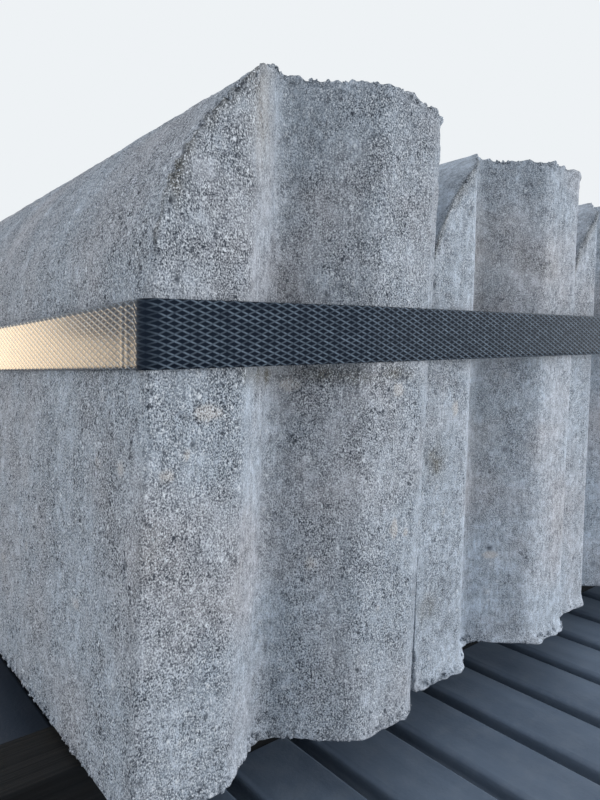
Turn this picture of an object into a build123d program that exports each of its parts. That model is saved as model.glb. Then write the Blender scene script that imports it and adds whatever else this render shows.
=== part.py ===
from build123d import *
import os
from math import atan2, cos, radians, sin, tan

# One strapped row of concrete lawn edging on a plastic pallet, in millimetres.
# +X runs across the row, +Y along each block, +Z up. The origin is the middle of the pallet's base.

# Edging block: a dry-cast concrete bar that stands on its foot, with one sloped shoulder
block_count = 11
block_length = 600.0
block_thickness = 98.6
block_height = 191.5
block_gap = 0.4
shoulder_foot = 136.0
shoulder_run = 39.5
shoulder_crown = 7.8
head_radius = 4.0
arris_radius = 1.2

# Interlocking end, seen from above: a flat land, a groove and a tongue, counted back from the plain side
tongue_runout = 8.0
tongue_flat = 23.0
tongue_height = 4.5
tongue_flank = 22.0
groove_run = 19.5
groove_vertex = 14.8
land_radius = 8.0
groove_radius = 7.0
tongue_inner_radius = 10.0
tongue_outer_radius = 8.0

# The first two blocks lean in under the strap's pull, in degrees
end_lean = 2.5
second_lean = 0.7

# The blocks between the first and the last stand back a little. The strap's far run bends over the third
# block, which stands furthest back, and the others take a share of the room that this run leaves them
third_setback = 5.5
setback_shares = (0.95, 1.0, 0.3, 0.6, 0.15, 0.5, 0.2, 0.7, 0.4)

# Embossed plastic strap: it rises along the row and drops a little towards the far end
strap_width = 16.0
strap_thickness = 0.9
strap_clearance = 0.25
strap_height = 118.3
strap_rise = 38.6
strap_drop = 12.8
weld_length = 38.0

# Softwood laths between the deck and the blocks
lath_width = 25.0
lath_thickness = 20.0
lath_setback = 36.0
lath_arris = 1.0

# Plastic pallet: one moulded deck with its feet, and three skids clipped under the feet
deck_length = 1200.0
deck_width = 800.0
deck_corner = 18.0
pallet_height = 150.0
skin_thickness = 15.0
rib_depth = 17.0
rib_thickness = 6.0
rim_thickness = 12.0
cell_pitch = 98.0
slat_pitch = 31.2
groove_width = 7.0
groove_depth = 6.5
slat_edge_radius = 1.6
foot_length = 145.0
outer_foot_width = 100.0
middle_foot_width = 145.0
foot_corner = 14.0
skid_thickness = 22.0
skid_chamfer = 7.0

# Worked out from the sizes above
tongue_end = block_thickness - tongue_runout
tongue_start = tongue_end - tongue_flat
groove_middle = tongue_start - tongue_flank
land_width = groove_middle - groove_run
lath_top = pallet_height + lath_thickness
row_front = -block_length / 2
skin_foot = pallet_height - skin_thickness
deck_foot = skin_foot - rib_depth
row_width = block_count * (block_thickness + block_gap)
block_leans = [end_lean, second_lean] + [0.0] * (block_count - 2)


def end_points(y):
    """Corners of the end line, before rounding, for an end at this Y."""
    return [
        (0, y),
        (land_width, y),
        (groove_middle, y + groove_vertex),
        (tongue_start, y - tongue_height),
        (tongue_end, y - tongue_height),
        (block_thickness, y),
    ]


def block_outline():
    """Plan of a block; both ends follow one line, so blocks laid end to end lock together."""
    radii = [arris_radius, land_radius, groove_radius, tongue_inner_radius, tongue_outer_radius, arris_radius]
    points = end_points(0) + end_points(block_length)[::-1]
    return FilletPolyline(points, radius=radii + radii[::-1], close=True)


def across_waste(edges):
    """A cutter with this section across the block, longer than the block at both ends."""
    return extrude(Plane.XZ * make_face(edges), amount=2 * block_length, both=True)


def shoulder_waste():
    """What the sloped, slightly crowned shoulder takes off the block's upper corner."""
    foot = Vector(0, shoulder_foot)
    head = Vector(shoulder_run, block_height)
    slope = (head - foot).normalized()
    crown = (foot + head) * 0.5 + Vector(-slope.Y, slope.X) * shoulder_crown
    over = Vector(0, block_height)
    side = Vector(-block_thickness, 0)
    return across_waste(
        [
            ThreePointArc(foot, crown, head),
            Polyline(head, head + over, over + over + side, foot + side, foot),
        ]
    )


def head_waste():
    """What the rounded edge takes off the head on the plain side."""
    centre = Vector(block_thickness - head_radius, block_height - head_radius)
    start = centre + Vector(0, head_radius)
    crown = centre + Vector(1, 1).normalized() * head_radius
    end = centre + Vector(head_radius, 0)
    beyond = Vector(head_radius, 0)
    over = Vector(0, head_radius)
    return across_waste(
        [
            ThreePointArc(start, crown, end),
            Polyline(end, end + beyond, end + beyond + over * 2, start + over, start),
        ]
    )


def edging_block():
    return extrude(make_face(block_outline()), amount=block_height) - shoulder_waste() - head_waste()


def row_places():
    """Lower plain-side edge of each block in X, left to right.

    Each block stands against the foot of its right neighbour's shoulder.
    """
    edge = 0.0
    edges = [edge]
    for index in range(block_count - 1, 0, -1):
        lean = radians(block_leans[index])
        touch_x = edge - block_thickness * cos(lean) + shoulder_foot * sin(lean)
        touch_z = block_thickness * sin(lean) + shoulder_foot * cos(lean)
        next_lean = radians(block_leans[index - 1])
        edge = touch_x - touch_z * tan(next_lean) - block_gap / cos(next_lean)
        edges.insert(0, edge)
    middle = (edges[0] - block_thickness + edges[-1]) / 2
    return [edge - middle for edge in edges]


def block_setbacks():
    """How far each block stands back from the line of the first and the last one."""
    third = 2
    last = block_count - 1
    setbacks = [0.0]
    for index in range(1, last):
        room = min(index / third, (last - index) / (last - third)) * third_setback
        setbacks.append(room * setback_shares[(index - 1) % len(setback_shares)])
    return setbacks + [0.0]


def standing(block, edge, setback, lean):
    """Turn a block about its lower plain-side edge and set it down on the laths."""
    return Pos(edge, row_front + setback, lath_top) * Rot(0, lean, 0) * Pos(-block_thickness, 0, 0) * block


def tight_hull(left, third, right):
    """The outline that a band pulled round the row takes, from the plan corners of three of its blocks."""
    crest = block_outline().bounding_box().max.Y
    last_turn = atan2(crest - block_length, block_thickness - groove_middle)
    first_turn = atan2(crest - block_length, groove_middle)
    points = [
        (left, 0),
        (left + tongue_start, -tongue_height),
        (right + tongue_end, -tongue_height),
        (right + block_thickness, 0),
        (right + block_thickness, block_length),
        (right + groove_middle + groove_radius * tan(last_turn / 2), crest),
        (third + groove_middle, crest + third_setback),
        (left + groove_middle - groove_radius * tan(first_turn / 2), crest),
        (left, block_length),
    ]
    bends = [arris_radius, tongue_inner_radius, tongue_outer_radius, arris_radius]
    bends += [arris_radius, groove_radius, groove_radius, groove_radius, arris_radius]
    return Pos(0, row_front, 0) * make_face(FilletPolyline(points, radius=bends, close=True))


def strap():
    """A closed band, tight round the row and slightly tilted, with its welded lap on the far side."""
    edges = row_places()
    lean = radians(end_lean)
    across = strap_rise / row_width
    along = -strap_drop / block_length
    contact = strap_height - strap_width / 2 + min(0, along) * (block_length + groove_vertex)
    left = edges[0] - block_thickness / cos(lean) + contact * tan(lean)
    hull = tight_hull(left, edges[2] - block_thickness, edges[-1] - block_thickness)
    inner = offset(hull, strap_clearance)
    outer = offset(inner, strap_thickness)
    sleeve = extrude(outer - inner, amount=block_height)
    weld = Box(strap_thickness, weld_length, block_height, align=(Align.MIN, Align.CENTER, Align.MIN))
    weld = Pos(edges[-1] + strap_clearance + strap_thickness, 0, 0) * weld
    tilt = Plane(
        origin=(left, row_front, lath_top + strap_height),
        z_dir=(-across, -along, 1),
    )
    reach = 2 * (edges[-1] - left + block_length)
    return (Pos(0, 0, lath_top) * (sleeve + weld)) & (tilt * Box(reach, reach, strap_width))


def lath(front):
    bar = Box(deck_length, lath_width, lath_thickness, align=(Align.CENTER, Align.MIN, Align.MIN))
    bar = fillet(bar.edges().filter_by(Axis.X), radius=lath_arris)
    return Pos(0, front, pallet_height) * bar


def slatted_top():
    """The deck's section: flat slats with narrow round-edged grooves between them."""
    count = int(deck_length / slat_pitch) - 1
    half = groove_width / 2
    floor = pallet_height - groove_depth
    points = [(-deck_length / 2, deck_foot), (-deck_length / 2, pallet_height)]
    radii = [0, slat_edge_radius]
    for index in range(count):
        x = (index - (count - 1) / 2) * slat_pitch
        points += [(x - half, pallet_height), (x - half, floor), (x + half, floor), (x + half, pallet_height)]
        radii += [slat_edge_radius] * 4
    points += [(deck_length / 2, pallet_height), (deck_length / 2, deck_foot)]
    radii += [slat_edge_radius, 0]
    section = make_face(FilletPolyline(points, radius=radii, close=True))
    return extrude(Plane.XZ * section, amount=deck_width / 2, both=True)


def rib_cells():
    """The open cells between the ribs on the deck's underside."""
    inside_x = deck_length - 2 * rim_thickness
    inside_y = deck_width - 2 * rim_thickness
    count_x = round(inside_x / cell_pitch)
    count_y = round(inside_y / cell_pitch)
    step_x = (inside_x + rib_thickness) / count_x
    step_y = (inside_y + rib_thickness) / count_y
    cell = Box(
        step_x - rib_thickness,
        step_y - rib_thickness,
        rib_depth,
        align=(Align.CENTER, Align.CENTER, Align.MIN),
    )
    return [Pos(0, 0, deck_foot) * place * cell for place in GridLocations(step_x, step_y, count_x, count_y)]


def foot_rows():
    """Width of each row of feet and the Y of its middle, front to back."""
    outer = (deck_width - outer_foot_width) / 2
    return [(outer_foot_width, -outer), (middle_foot_width, 0.0), (outer_foot_width, outer)]


def foot_columns():
    outer = (deck_length - foot_length) / 2
    return [-outer, 0.0, outer]


def pallet_deck():
    plan = extrude(RectangleRounded(deck_length, deck_width, deck_corner), amount=pallet_height)
    deck = (slatted_top() & plan) - rib_cells()
    for width, y in foot_rows():
        plan = RectangleRounded(foot_length, width, foot_corner)
        foot = Pos(0, y, skid_thickness) * extrude(plan, amount=skin_foot - skid_thickness)
        deck += [Pos(x, 0, 0) * foot for x in foot_columns()]
    return deck


def skid(width, y):
    """A flat runner whose upper edges are chamfered where pallet-truck wheels climb over it."""
    bar = extrude(RectangleRounded(deck_length, width, foot_corner), amount=skid_thickness)
    gap = foot_columns()[1] - foot_columns()[0] - foot_length
    ramps = []
    for x in (foot_columns()[0] + foot_columns()[1], foot_columns()[1] + foot_columns()[2]):
        for side in (-1, 1):
            edge = Box(gap, 2 * skid_chamfer / 2 ** 0.5, 2 * skid_chamfer / 2 ** 0.5)
            ramps.append(Pos(x / 2, side * width / 2, skid_thickness) * Rot(45, 0, 0) * edge)
    return Pos(0, y, 0) * (bar - ramps)


def main():
    os.makedirs("parts", exist_ok=True)
    block = edging_block()
    for index, place in enumerate(zip(row_places(), block_setbacks(), block_leans), start=1):
        export_step(standing(block, *place), f"parts/edging_block_{index:02d}.step")
    export_step(strap(), "parts/strap.step")
    export_step(lath(row_front + lath_setback), "parts/lath_front.step")
    export_step(lath(row_front + block_length - lath_setback - lath_width), "parts/lath_back.step")
    export_step(pallet_deck(), "parts/pallet_deck.step")
    for name, (width, y) in zip(("front", "middle", "back"), foot_rows()):
        export_step(skid(width, y), f"parts/skid_{name}.step")


main()
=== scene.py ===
# %% [markdown]
# A row of eleven dry-cast concrete edging blocks, held by one embossed plastic strap on a plastic pallet.
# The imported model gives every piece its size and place. This notebook gives each piece its real surface:
# open-textured concrete, embossed strapping, weathered softwood and dusty recycled plastic.
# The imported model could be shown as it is, but cast concrete has crumbled edges, pits and drag marks,
# so the blocks and the strap are rebuilt as finer meshes in the same places.

# %% Load the frame
from itertools import product
from math import acos, atan2, ceil, cos, degrees, pi, radians, sin, tan
import bmesh
import bpy
import numpy as np
from mathutils import Matrix, Vector


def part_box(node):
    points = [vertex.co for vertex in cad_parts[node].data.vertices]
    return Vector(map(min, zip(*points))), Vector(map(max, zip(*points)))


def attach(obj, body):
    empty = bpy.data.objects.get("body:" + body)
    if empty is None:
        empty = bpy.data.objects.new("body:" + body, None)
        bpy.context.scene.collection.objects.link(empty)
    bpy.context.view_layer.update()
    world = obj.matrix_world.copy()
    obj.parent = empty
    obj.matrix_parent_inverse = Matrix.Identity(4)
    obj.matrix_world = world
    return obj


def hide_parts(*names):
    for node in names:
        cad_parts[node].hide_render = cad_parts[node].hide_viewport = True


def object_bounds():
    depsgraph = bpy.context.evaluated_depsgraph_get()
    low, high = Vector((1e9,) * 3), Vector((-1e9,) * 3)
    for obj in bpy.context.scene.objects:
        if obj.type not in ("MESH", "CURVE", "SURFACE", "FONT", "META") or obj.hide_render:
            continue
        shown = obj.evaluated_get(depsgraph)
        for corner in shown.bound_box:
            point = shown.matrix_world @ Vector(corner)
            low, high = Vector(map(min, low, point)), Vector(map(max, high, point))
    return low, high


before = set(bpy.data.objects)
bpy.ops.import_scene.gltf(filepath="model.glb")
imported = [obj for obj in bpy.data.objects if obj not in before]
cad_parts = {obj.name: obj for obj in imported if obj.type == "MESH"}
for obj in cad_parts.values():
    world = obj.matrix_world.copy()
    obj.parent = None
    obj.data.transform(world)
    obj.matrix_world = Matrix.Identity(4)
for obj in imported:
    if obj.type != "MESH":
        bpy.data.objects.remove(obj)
cad_low, cad_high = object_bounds()
MM = 0.001
print("the packed model is", [round(side / MM) for side in cad_high - cad_low], "mm")

# %% [markdown]
# The camera stands where the photographer's did: 14 cm from the near corner of the first block, a little
# below the blocks' heads, and turned 41 degrees to the right of the blocks' length. So close, one pixel is
# a quarter of a millimetre of concrete. A lens could be chosen by eye, but these values come from
# fitting a camera to the blocks' edges.

# %% Camera
CAMERA_PLACE = (-0.60538, -0.42800, 0.28297)
CAMERA_YAW = 0.6972
CAMERA_PITCH = 0.0633
CAMERA_ROLL = 0.0152
LENS = 27.851
SENSOR = 36
NEAREST_SEEN = 0.01

camera = bpy.data.objects.new("camera", bpy.data.cameras.new("camera"))
bpy.context.scene.collection.objects.link(camera)
turn = Matrix.Rotation(-CAMERA_YAW, 4, "Z") @ Matrix.Rotation(pi / 2 - CAMERA_PITCH, 4, "X")
camera.matrix_world = Matrix.Translation(CAMERA_PLACE) @ turn @ Matrix.Rotation(CAMERA_ROLL, 4, "Z")
camera.data.lens = LENS
camera.data.sensor_width = SENSOR
camera.data.clip_start = NEAREST_SEEN
bpy.context.scene.camera = camera
print("camera", LENS, "mm lens,", round(degrees(CAMERA_YAW)), "degrees off the blocks' length")

# %% [markdown]
# Unevenness comes from noise: a smooth pattern of numbers from -1 to 1 that is fixed at every point of
# space. Blender has noise for single points, but a block has tens of thousands of them, so this version
# works on whole arrays. Values are drawn at the corners of a grid of cubes and blended in between.

# %% Noise for arrays of points
GRID_PRIMES = np.array([374761393, 668265263, 1274126177])
SEED_STEP = 69069
SHUFFLES = ((15, 2246822519), (13, 3266489917))
WORD = 0xFFFFFFFF
HALF_WORD = 0xFFFF
OCTAVE_SHIFT = 37.3
OCTAVE_SEED = 101


def dice(corner, seed):
    """One repeatable number from 0 to 1 for each whole-number grid corner."""
    mixed = (corner @ GRID_PRIMES + seed * SEED_STEP) & WORD
    for shift, factor in SHUFFLES:
        mixed = ((mixed ^ (mixed >> shift)) * factor) & WORD
    return ((mixed ^ (mixed >> 16)) & HALF_WORD) / HALF_WORD


def noise(points, size, seed, octaves=2):
    """Smooth noise from -1 to 1 whose lumps are about this many millimetres wide in x, y and z."""
    total = np.zeros(len(points))
    weights = 0
    for octave in range(octaves):
        place = points / np.array(size) * 2**octave + OCTAVE_SHIFT * octave
        low = np.floor(place).astype(np.int64)
        blend = place - low
        blend = blend * blend * (3 - 2 * blend)
        value = np.zeros(len(points))
        over, back, up = blend.T
        for x, y, z in product((0, 1), repeat=3):
            share = abs(1 - x - over) * abs(1 - y - back) * abs(1 - z - up)
            value += share * dice(low + np.array([x, y, z]), seed + OCTAVE_SEED * octave)
        total += (2 * value - 1) * 0.5**octave
        weights += 0.5**octave
    return total / weights


def dots(points, cell, chance, smallest, largest, seed):
    """Scattered round dots: 1 in the middle of a dot, 0 from its rim outwards."""
    strength = np.zeros(len(points))
    home = np.floor(points / cell).astype(np.int64)
    for step in product((-1, 0, 1), repeat=3):
        box = home + np.array(step)
        centre = (box + np.stack([dice(box, seed + axis) for axis in (1, 2, 3)], axis=1)) * cell
        radius = smallest + (largest - smallest) * dice(box, seed + 4) ** 2
        away = ((points - centre) ** 2).sum(axis=1) / radius**2
        strength = np.maximum(strength, (1 - away) * (dice(box, seed + 5) < chance))
    return strength


sample = noise(np.random.default_rng(1).uniform(0, 500, (2000, 3)), (5, 5, 5), 3)
print("noise spreads by", round(float(sample.std()), 2), "about", round(float(sample.mean()), 2))

# %% [markdown]
# An edging block is pressed from damp, lean concrete in a steel mould, standing on its foot. One long
# upper edge is a sloped shoulder. The ends have a tongue and a groove, so that laid blocks lock together.
# Seen from above, both ends follow one line; seen along the block, the section is a bar with a curved
# shoulder. These two lines give every point of the surface, so they are written first.

# %% Block profile in millimetres
THICKNESS = 98.6
HEIGHT = 191.5
LENGTH = 600.0
SHOULDER_FOOT = 136.0
SHOULDER_RUN = 39.5
SHOULDER_CROWN = 7.8
TONGUE_RUNOUT = 8.0
TONGUE_FLAT = 23.0
TONGUE_HEIGHT = 4.5
TONGUE_FLANK = 22.0
GROOVE_RUN = 19.5
GROOVE_VERTEX = 14.8
TONGUE_END = THICKNESS - TONGUE_RUNOUT
TONGUE_START = TONGUE_END - TONGUE_FLAT
GROOVE_MIDDLE = TONGUE_START - TONGUE_FLANK
LAND_WIDTH = GROOVE_MIDDLE - GROOVE_RUN
LAND_RADIUS = 8.0
GROOVE_RADIUS = 7.0
TONGUE_INNER_RADIUS = 10.0
TONGUE_OUTER_RADIUS = 8.0
ARRIS_RADIUS = 1.2


def rounded_path(corners, radii, spacing, closed=False):
    """Points along straight runs joined by arcs; only the arcs are divided."""
    corners = np.array(corners, float)
    points = []
    for index, radius in enumerate(radii):
        corner = corners[index]
        if radius == 0:
            points.append(corner)
            continue
        back = corners[index - 1] - corner
        on = corners[(index + 1) % len(corners)] - corner
        back, on = back / np.linalg.norm(back), on / np.linalg.norm(on)
        half = acos(np.clip(back @ on, -1, 1)) / 2
        middle = corner + (back + on) / np.linalg.norm(back + on) * radius / sin(half)
        first = corner + back * radius / tan(half) - middle
        last = corner + on * radius / tan(half) - middle
        sweep = atan2(first[0] * last[1] - first[1] * last[0], first @ last)
        steps = max(2, ceil(abs(sweep) * radius / spacing))
        start = atan2(first[1], first[0])
        for angle in start + sweep * np.linspace(0, 1, steps + 1):
            points.append(middle + radius * np.array([cos(angle), sin(angle)]))
    return np.array(points + points[:1] if closed else points)


end_corners = [
    (0, 0),
    (LAND_WIDTH, 0),
    (GROOVE_MIDDLE, GROOVE_VERTEX),
    (TONGUE_START, -TONGUE_HEIGHT),
    (TONGUE_END, -TONGUE_HEIGHT),
    (THICKNESS, 0),
]
end_radii = [0, LAND_RADIUS, GROOVE_RADIUS, TONGUE_INNER_RADIUS, TONGUE_OUTER_RADIUS, 0]
end_line = rounded_path(end_corners, end_radii, 0.3)


def end_depth(x):
    """How far the end lies behind its flat land, for each distance across the block."""
    return np.interp(x, end_line[:, 0], end_line[:, 1])


def end_slope(x):
    return (end_depth(x + 0.3) - end_depth(x - 0.3)) / 0.6


shoulder_chord = np.array([SHOULDER_RUN, HEIGHT - SHOULDER_FOOT])
chord_length = np.linalg.norm(shoulder_chord)
shoulder_radius = (chord_length**2 / 4 + SHOULDER_CROWN**2) / (2 * SHOULDER_CROWN)
chord_normal = np.array([shoulder_chord[1], -shoulder_chord[0]]) / chord_length
shoulder_centre = np.array([0, SHOULDER_FOOT]) + shoulder_chord / 2
shoulder_centre = shoulder_centre + chord_normal * (shoulder_radius - SHOULDER_CROWN)


def top(x):
    """Height of the shoulder and the head, for each distance across the block."""
    across = np.clip(x, 0, SHOULDER_RUN) - shoulder_centre[0]
    return shoulder_centre[1] + np.sqrt(shoulder_radius**2 - across**2)


print("shoulder radius", round(shoulder_radius), "mm, head", round(float(top(50.0)), 1), "mm")

# %% [markdown]
# Each end face is a grid of columns and rows, and the long faces are rings of points carried from one end
# to the other. A mesh as fine as the camera needs would be far too heavy over the whole block, so rings
# far from the camera keep only every second, fourth or eighth point. Voxel remeshing could do this with
# less code, but it spends as many faces on a hidden side as on the near corner.

# %% Grid of one block
FINE_STEPS = 4000
SHOULDER_CROWDING = 0.6
RIM_CROWDING = 0.3


def end_grid(columns, rows):
    """Across and up positions of an end face's grid, closer together on slopes and near its rim."""
    fine = np.linspace(0, THICKNESS, FINE_STEPS)
    climb = np.gradient(top(fine), fine)
    cost = np.sqrt(1 + end_slope(fine) ** 2 + (SHOULDER_CROWDING * climb) ** 2)
    run = np.concatenate([[0], np.cumsum((cost[1:] + cost[:-1]) / 2)])
    x = np.interp(np.linspace(0, run[-1], columns + 1), run, fine)
    share = np.linspace(0, 1, rows + 1)
    share = share - RIM_CROWDING * np.sin(2 * pi * share) / (2 * pi)
    return np.meshgrid(x, share, indexing="ij")[0], top(x)[:, None] * share[None, :]


def rim(columns, rows, left, over, right, under):
    """Grid places round an end face, keeping every so many on each of its four sides."""
    side = [(0, row) for row in range(0, rows, left)]
    side += [(column, rows) for column in range(0, columns, over)]
    side += [(columns, row) for row in range(rows, 0, -right)]
    return side + [(column, 0) for column in range(columns, 0, -under)]


def join_rings(first, second):
    """Faces between two rings of {grid place: vertex}, where one ring may keep fewer places."""
    order = [place for place in first if place in second]
    names = [list(first), list(second)]
    where = [{place: index for index, place in enumerate(ring)} for ring in names]
    faces = []
    for start, stop in zip(order, order[1:] + order[:1]):
        chain = []
        for ring, places, index in zip((first, second), names, where):
            span = (index[stop] - index[start]) % len(places)
            chain.append([ring[places[(index[start] + step) % len(places)]] for step in range(span + 1)])
        faces.append(chain[0] + chain[1][::-1])
    return faces


def block_grid(columns, rows, steps, stations, far_step):
    """Across, along and up position of every vertex of a block before wear, with its faces."""
    x, z = end_grid(columns, rows)
    spots = [np.stack([x.ravel(), np.zeros(x.size), z.ravel()], axis=1)]
    count = x.size
    width = rows + 1
    faces = []
    for column in range(columns):
        for row in range(rows):
            corner = column * width + row
            faces.append([corner, corner + width, corner + width + 1, corner + 1])
    last = {place: place[0] * width + place[1] for place in rim(columns, rows, 1, 1, 1, 1)}
    for station in stations:
        step = steps(station)
        places = rim(columns, rows, *step)
        spots.append(np.array([(x[place], station, z[place]) for place in places]))
        ring = {place: count + index for index, place in enumerate(places)}
        count += len(places)
        faces += join_rings(last, ring)
        last = ring
    kept = [(c, r) for c in range(0, columns + 1, far_step) for r in range(0, rows + 1, far_step)]
    spots.append(np.array([(x[place], LENGTH, z[place]) for place in kept]))
    far = {place: count + index for index, place in enumerate(kept)}
    for column in range(0, columns, far_step):
        for row in range(0, rows, far_step):
            corners = [(column, row), (column, row + far_step)]
            corners += [(column + far_step, row + far_step), (column + far_step, row)]
            faces.append([far[place] for place in corners])
    ring = {place: far[place] for place in rim(columns, rows, *[far_step] * 4)}
    faces += join_rings(last, ring)
    return np.concatenate(spots), faces


trial, trial_faces = block_grid(48, 64, lambda away: (2, 2, 4, 4), [5, 10, 300, 590], 4)
print("a coarse block has", len(trial), "vertices and", len(trial_faces), "faces")

# %% [markdown]
# Freshly pressed concrete crumbles where the mould slides off, so no edge is sharp. An edge could be
# bevelled, but a bevel is even. Here each point near an edge moves back along both faces by an amount that
# varies with noise, which gives a rounded edge with small bites.

# %% Edge wear
ARRIS_WEAR = 1.2
RIGHT_WEAR = 0.3
HEAD_WEAR = 1.0
FOOT_WEAR = 0.5
HEAD_EDGE_WEAR = 4.4
WEAR_LIMITS = (0.3, 9)
RAGGED, RAGGED_SIZE = 0.55, 5
BITE, BITE_SIZE, BITE_FROM = 3.2, 11, 0.35
CORNER_BLEND = 0.5
BLOCK_SHIFT = (977.0, 31.0)


def eased(away, wear):
    """Where a point this far from an edge goes: its new distance, and how far its face sinks there."""
    near = away < wear
    moved = np.where(near, wear / 4 + 0.75 * away, away)
    sink = np.where(near, (np.sqrt(wear) - np.sqrt(np.minimum(moved, wear))) ** 2, 0)
    return moved, sink


def rim_mix(x, z, left_wear):
    """Distance from the rim of an end face, the way inwards, and the usual wear of the nearest edge."""
    climb = (top(x + 0.2) - top(x - 0.2)) / 0.4
    climb = np.where((x > 0.2) & (x < SHOULDER_RUN - 0.2), climb, np.where(x < 1, 4.7, 0))
    lean = np.sqrt(1 + climb**2)
    away = np.stack([x, THICKNESS - x, z, (top(x) - z) / lean])
    closest = away.min(axis=0)
    weight = np.exp(-(away - closest) / CORNER_BLEND)
    weight = weight / weight.sum(axis=0)
    inward_x = weight[0] - weight[1] + weight[3] * climb / lean
    inward_z = weight[2] - weight[3] / lean
    size = np.maximum(np.hypot(inward_x, inward_z), 1e-6)
    usual = weight[0] * left_wear + weight[1] * RIGHT_WEAR + weight[2] * FOOT_WEAR + weight[3] * HEAD_WEAR
    return closest, inward_x / size, inward_z / size, usual


def soften_corner(x, z, corner_x, corner_z, way_x, way_z, wear):
    """Rounds one long edge of the block in the section."""
    u = way_x * (x - corner_x)
    v = way_z * (z - corner_z)
    low, high = np.minimum(u, v), np.maximum(u, v)
    moved, sink = eased(np.maximum(high, 0), wear)
    fade = np.clip(1 - low / wear, 0, 1)
    touched = (high < wear).astype(float)
    new_low = low + sink * fade * touched
    new_high = high + (moved - high) * fade * touched
    new_u = np.where(u < v, new_low, new_high)
    new_v = np.where(u < v, new_high, new_low)
    return corner_x + way_x * new_u, corner_z + way_z * new_v


def worn_block(spots, seed):
    """Moves every grid point to the worn surface; also says how near it is to an end's rim."""
    x, along, z = spots.T
    shifted = spots + np.array([seed * BLOCK_SHIFT[0], 0, 0])
    bites = np.clip(noise(shifted, (BITE_SIZE,) * 3, 12) - BITE_FROM, 0, 1)
    ragged = 1 + RAGGED * noise(shifted, (RAGGED_SIZE,) * 3, 11) + BITE * bites
    on_end = (along == 0) | (along == LENGTH)
    away, inward_x, inward_z, usual = rim_mix(x, z, ARRIS_WEAR if seed == 1 else RIGHT_WEAR)
    wear = np.clip(usual * ragged, *WEAR_LIMITS)
    wavy = np.clip(1 + 0.5 * noise(shifted, (6, 18, 6), 13), 0.4, 2)
    sx, sz = soften_corner(x, z, 0, 0, 1, 1, FOOT_WEAR * wavy)
    sx, sz = soften_corner(sx, sz, THICKNESS, 0, -1, 1, FOOT_WEAR * wavy)
    sx, sz = soften_corner(sx, sz, THICKNESS, HEIGHT, -1, -1, HEAD_EDGE_WEAR * wavy)

    moved, sink = eased(away, wear)
    cap_x = sx + inward_x * (moved - away)
    cap_z = sz + inward_z * (moved - away)
    slope = end_slope(cap_x)
    steep = np.sqrt(1 + slope**2)
    facing = np.where(along == 0, 1.0, -1.0)
    cap_y = end_depth(cap_x) + along + facing * sink / steep
    cap_x = cap_x - facing * slope / steep * sink

    to_end = np.minimum(along, LENGTH - along)
    band_moved, band_sink = eased(to_end, wear)
    toward = np.where(along < LENGTH / 2, 1.0, -1.0)
    band_x = sx + inward_x * band_sink
    band_z = sz + inward_z * band_sink
    band_y = end_depth(band_x) + along + toward * (band_moved - to_end)

    near_rim = np.where(on_end, away, to_end)
    points = np.where(on_end, [cap_x, cap_y, cap_z], [band_x, band_y, band_z]).T
    return points, near_rim, np.clip(ragged - 1.3, 0, 1)


furthest = float(abs(worn_block(trial, 1)[0] - trial).max())
print("the end line and the wear move points by up to", round(furthest, 1), "mm")

# %% [markdown]
# On top of the worn shape comes the surface itself. Broad waves come from the mould, lumps and open pores
# from the lean mix, and upright drag marks from the mould sliding off. Each is a noise of its own real
# size in millimetres. Where the mould rubbed, the face is smoother: in the end's groove, and on the blocks
# further along the row. The amounts are also written on the mesh as attributes, so that the concrete
# material can colour a pit or a pebble just where its shape is. Sculpting by hand could do the same, but
# not for eleven blocks.

# %% Concrete relief
POLISH_PLACES = [0, 24, 30, 44, 52, 64, 70, 88, 93, 98]
NEAR_POLISH = [-0.1, -0.1, 0.55, 0.55, 0.0, 0.0, -0.1, -0.1, 0.15, 0.15]
FAR_POLISH = [0.35, 0.35, 1.0, 1.0, 0.6, 0.6, 0.6, 0.6, 1.0, 1.0]
SIDE_POLISH = -0.45
NEAR_SHOULDER_POLISH = -0.3
# The far blocks' shoulders count as fully smooth partly so that they are drawn lighter: painted light where the first
# block shades them.
FAR_SHOULDER_POLISH = 1.0
POLISH_CALMS = 0.6
MOULD_WAVE = (0.30, (34, 34, 34), 21, 2)
ROUGH_WAVES = [(0.26, (6, 6, 7), 22, 2), (0.24, (2.2, 2.2, 2.6), 23, 1), (0.10, (1.8, 1.8, 16), 24, 2)]
EDGE_BAND = 4.0
LUMP_SIZE = 1.3
LINE_LUMPS, SIDE_LUMPS = 1.4, 0.45
PIT_CELL, PIT_CHANCE, PIT_SPREAD = 7.0, 0.22, 0.9
EDGE_PIT_CELL, EDGE_PIT_CHANCE = 4.0, 0.10
CRUMBLED_CELL, CRUMBLED_CHANCE, CRUMBLED_BAND = 2.6, 0.6, 7.0
STONE_CELL, STONE_CHANCE, STONE_SIZES = 13.0, 0.22, (1.2, 2.6)
STONE_HEIGHT, PIT_DEPTH = 0.35, 0.75
SUNK = 0.35
HIGHEST, EDGE_RISE = -0.03, 0.95
FRONT_BAND = 1.5
LIP_HEIGHT, LIP_FADE = 5.0, 5.0
STRAP_HEIGHT = 118.3
STRAP_RISE_PER_BLOCK = 3.5
STRAP_REACH = 10.0


def on_front(points):
    return points[:, 1] < end_depth(points[:, 0]) + FRONT_BAND


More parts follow.
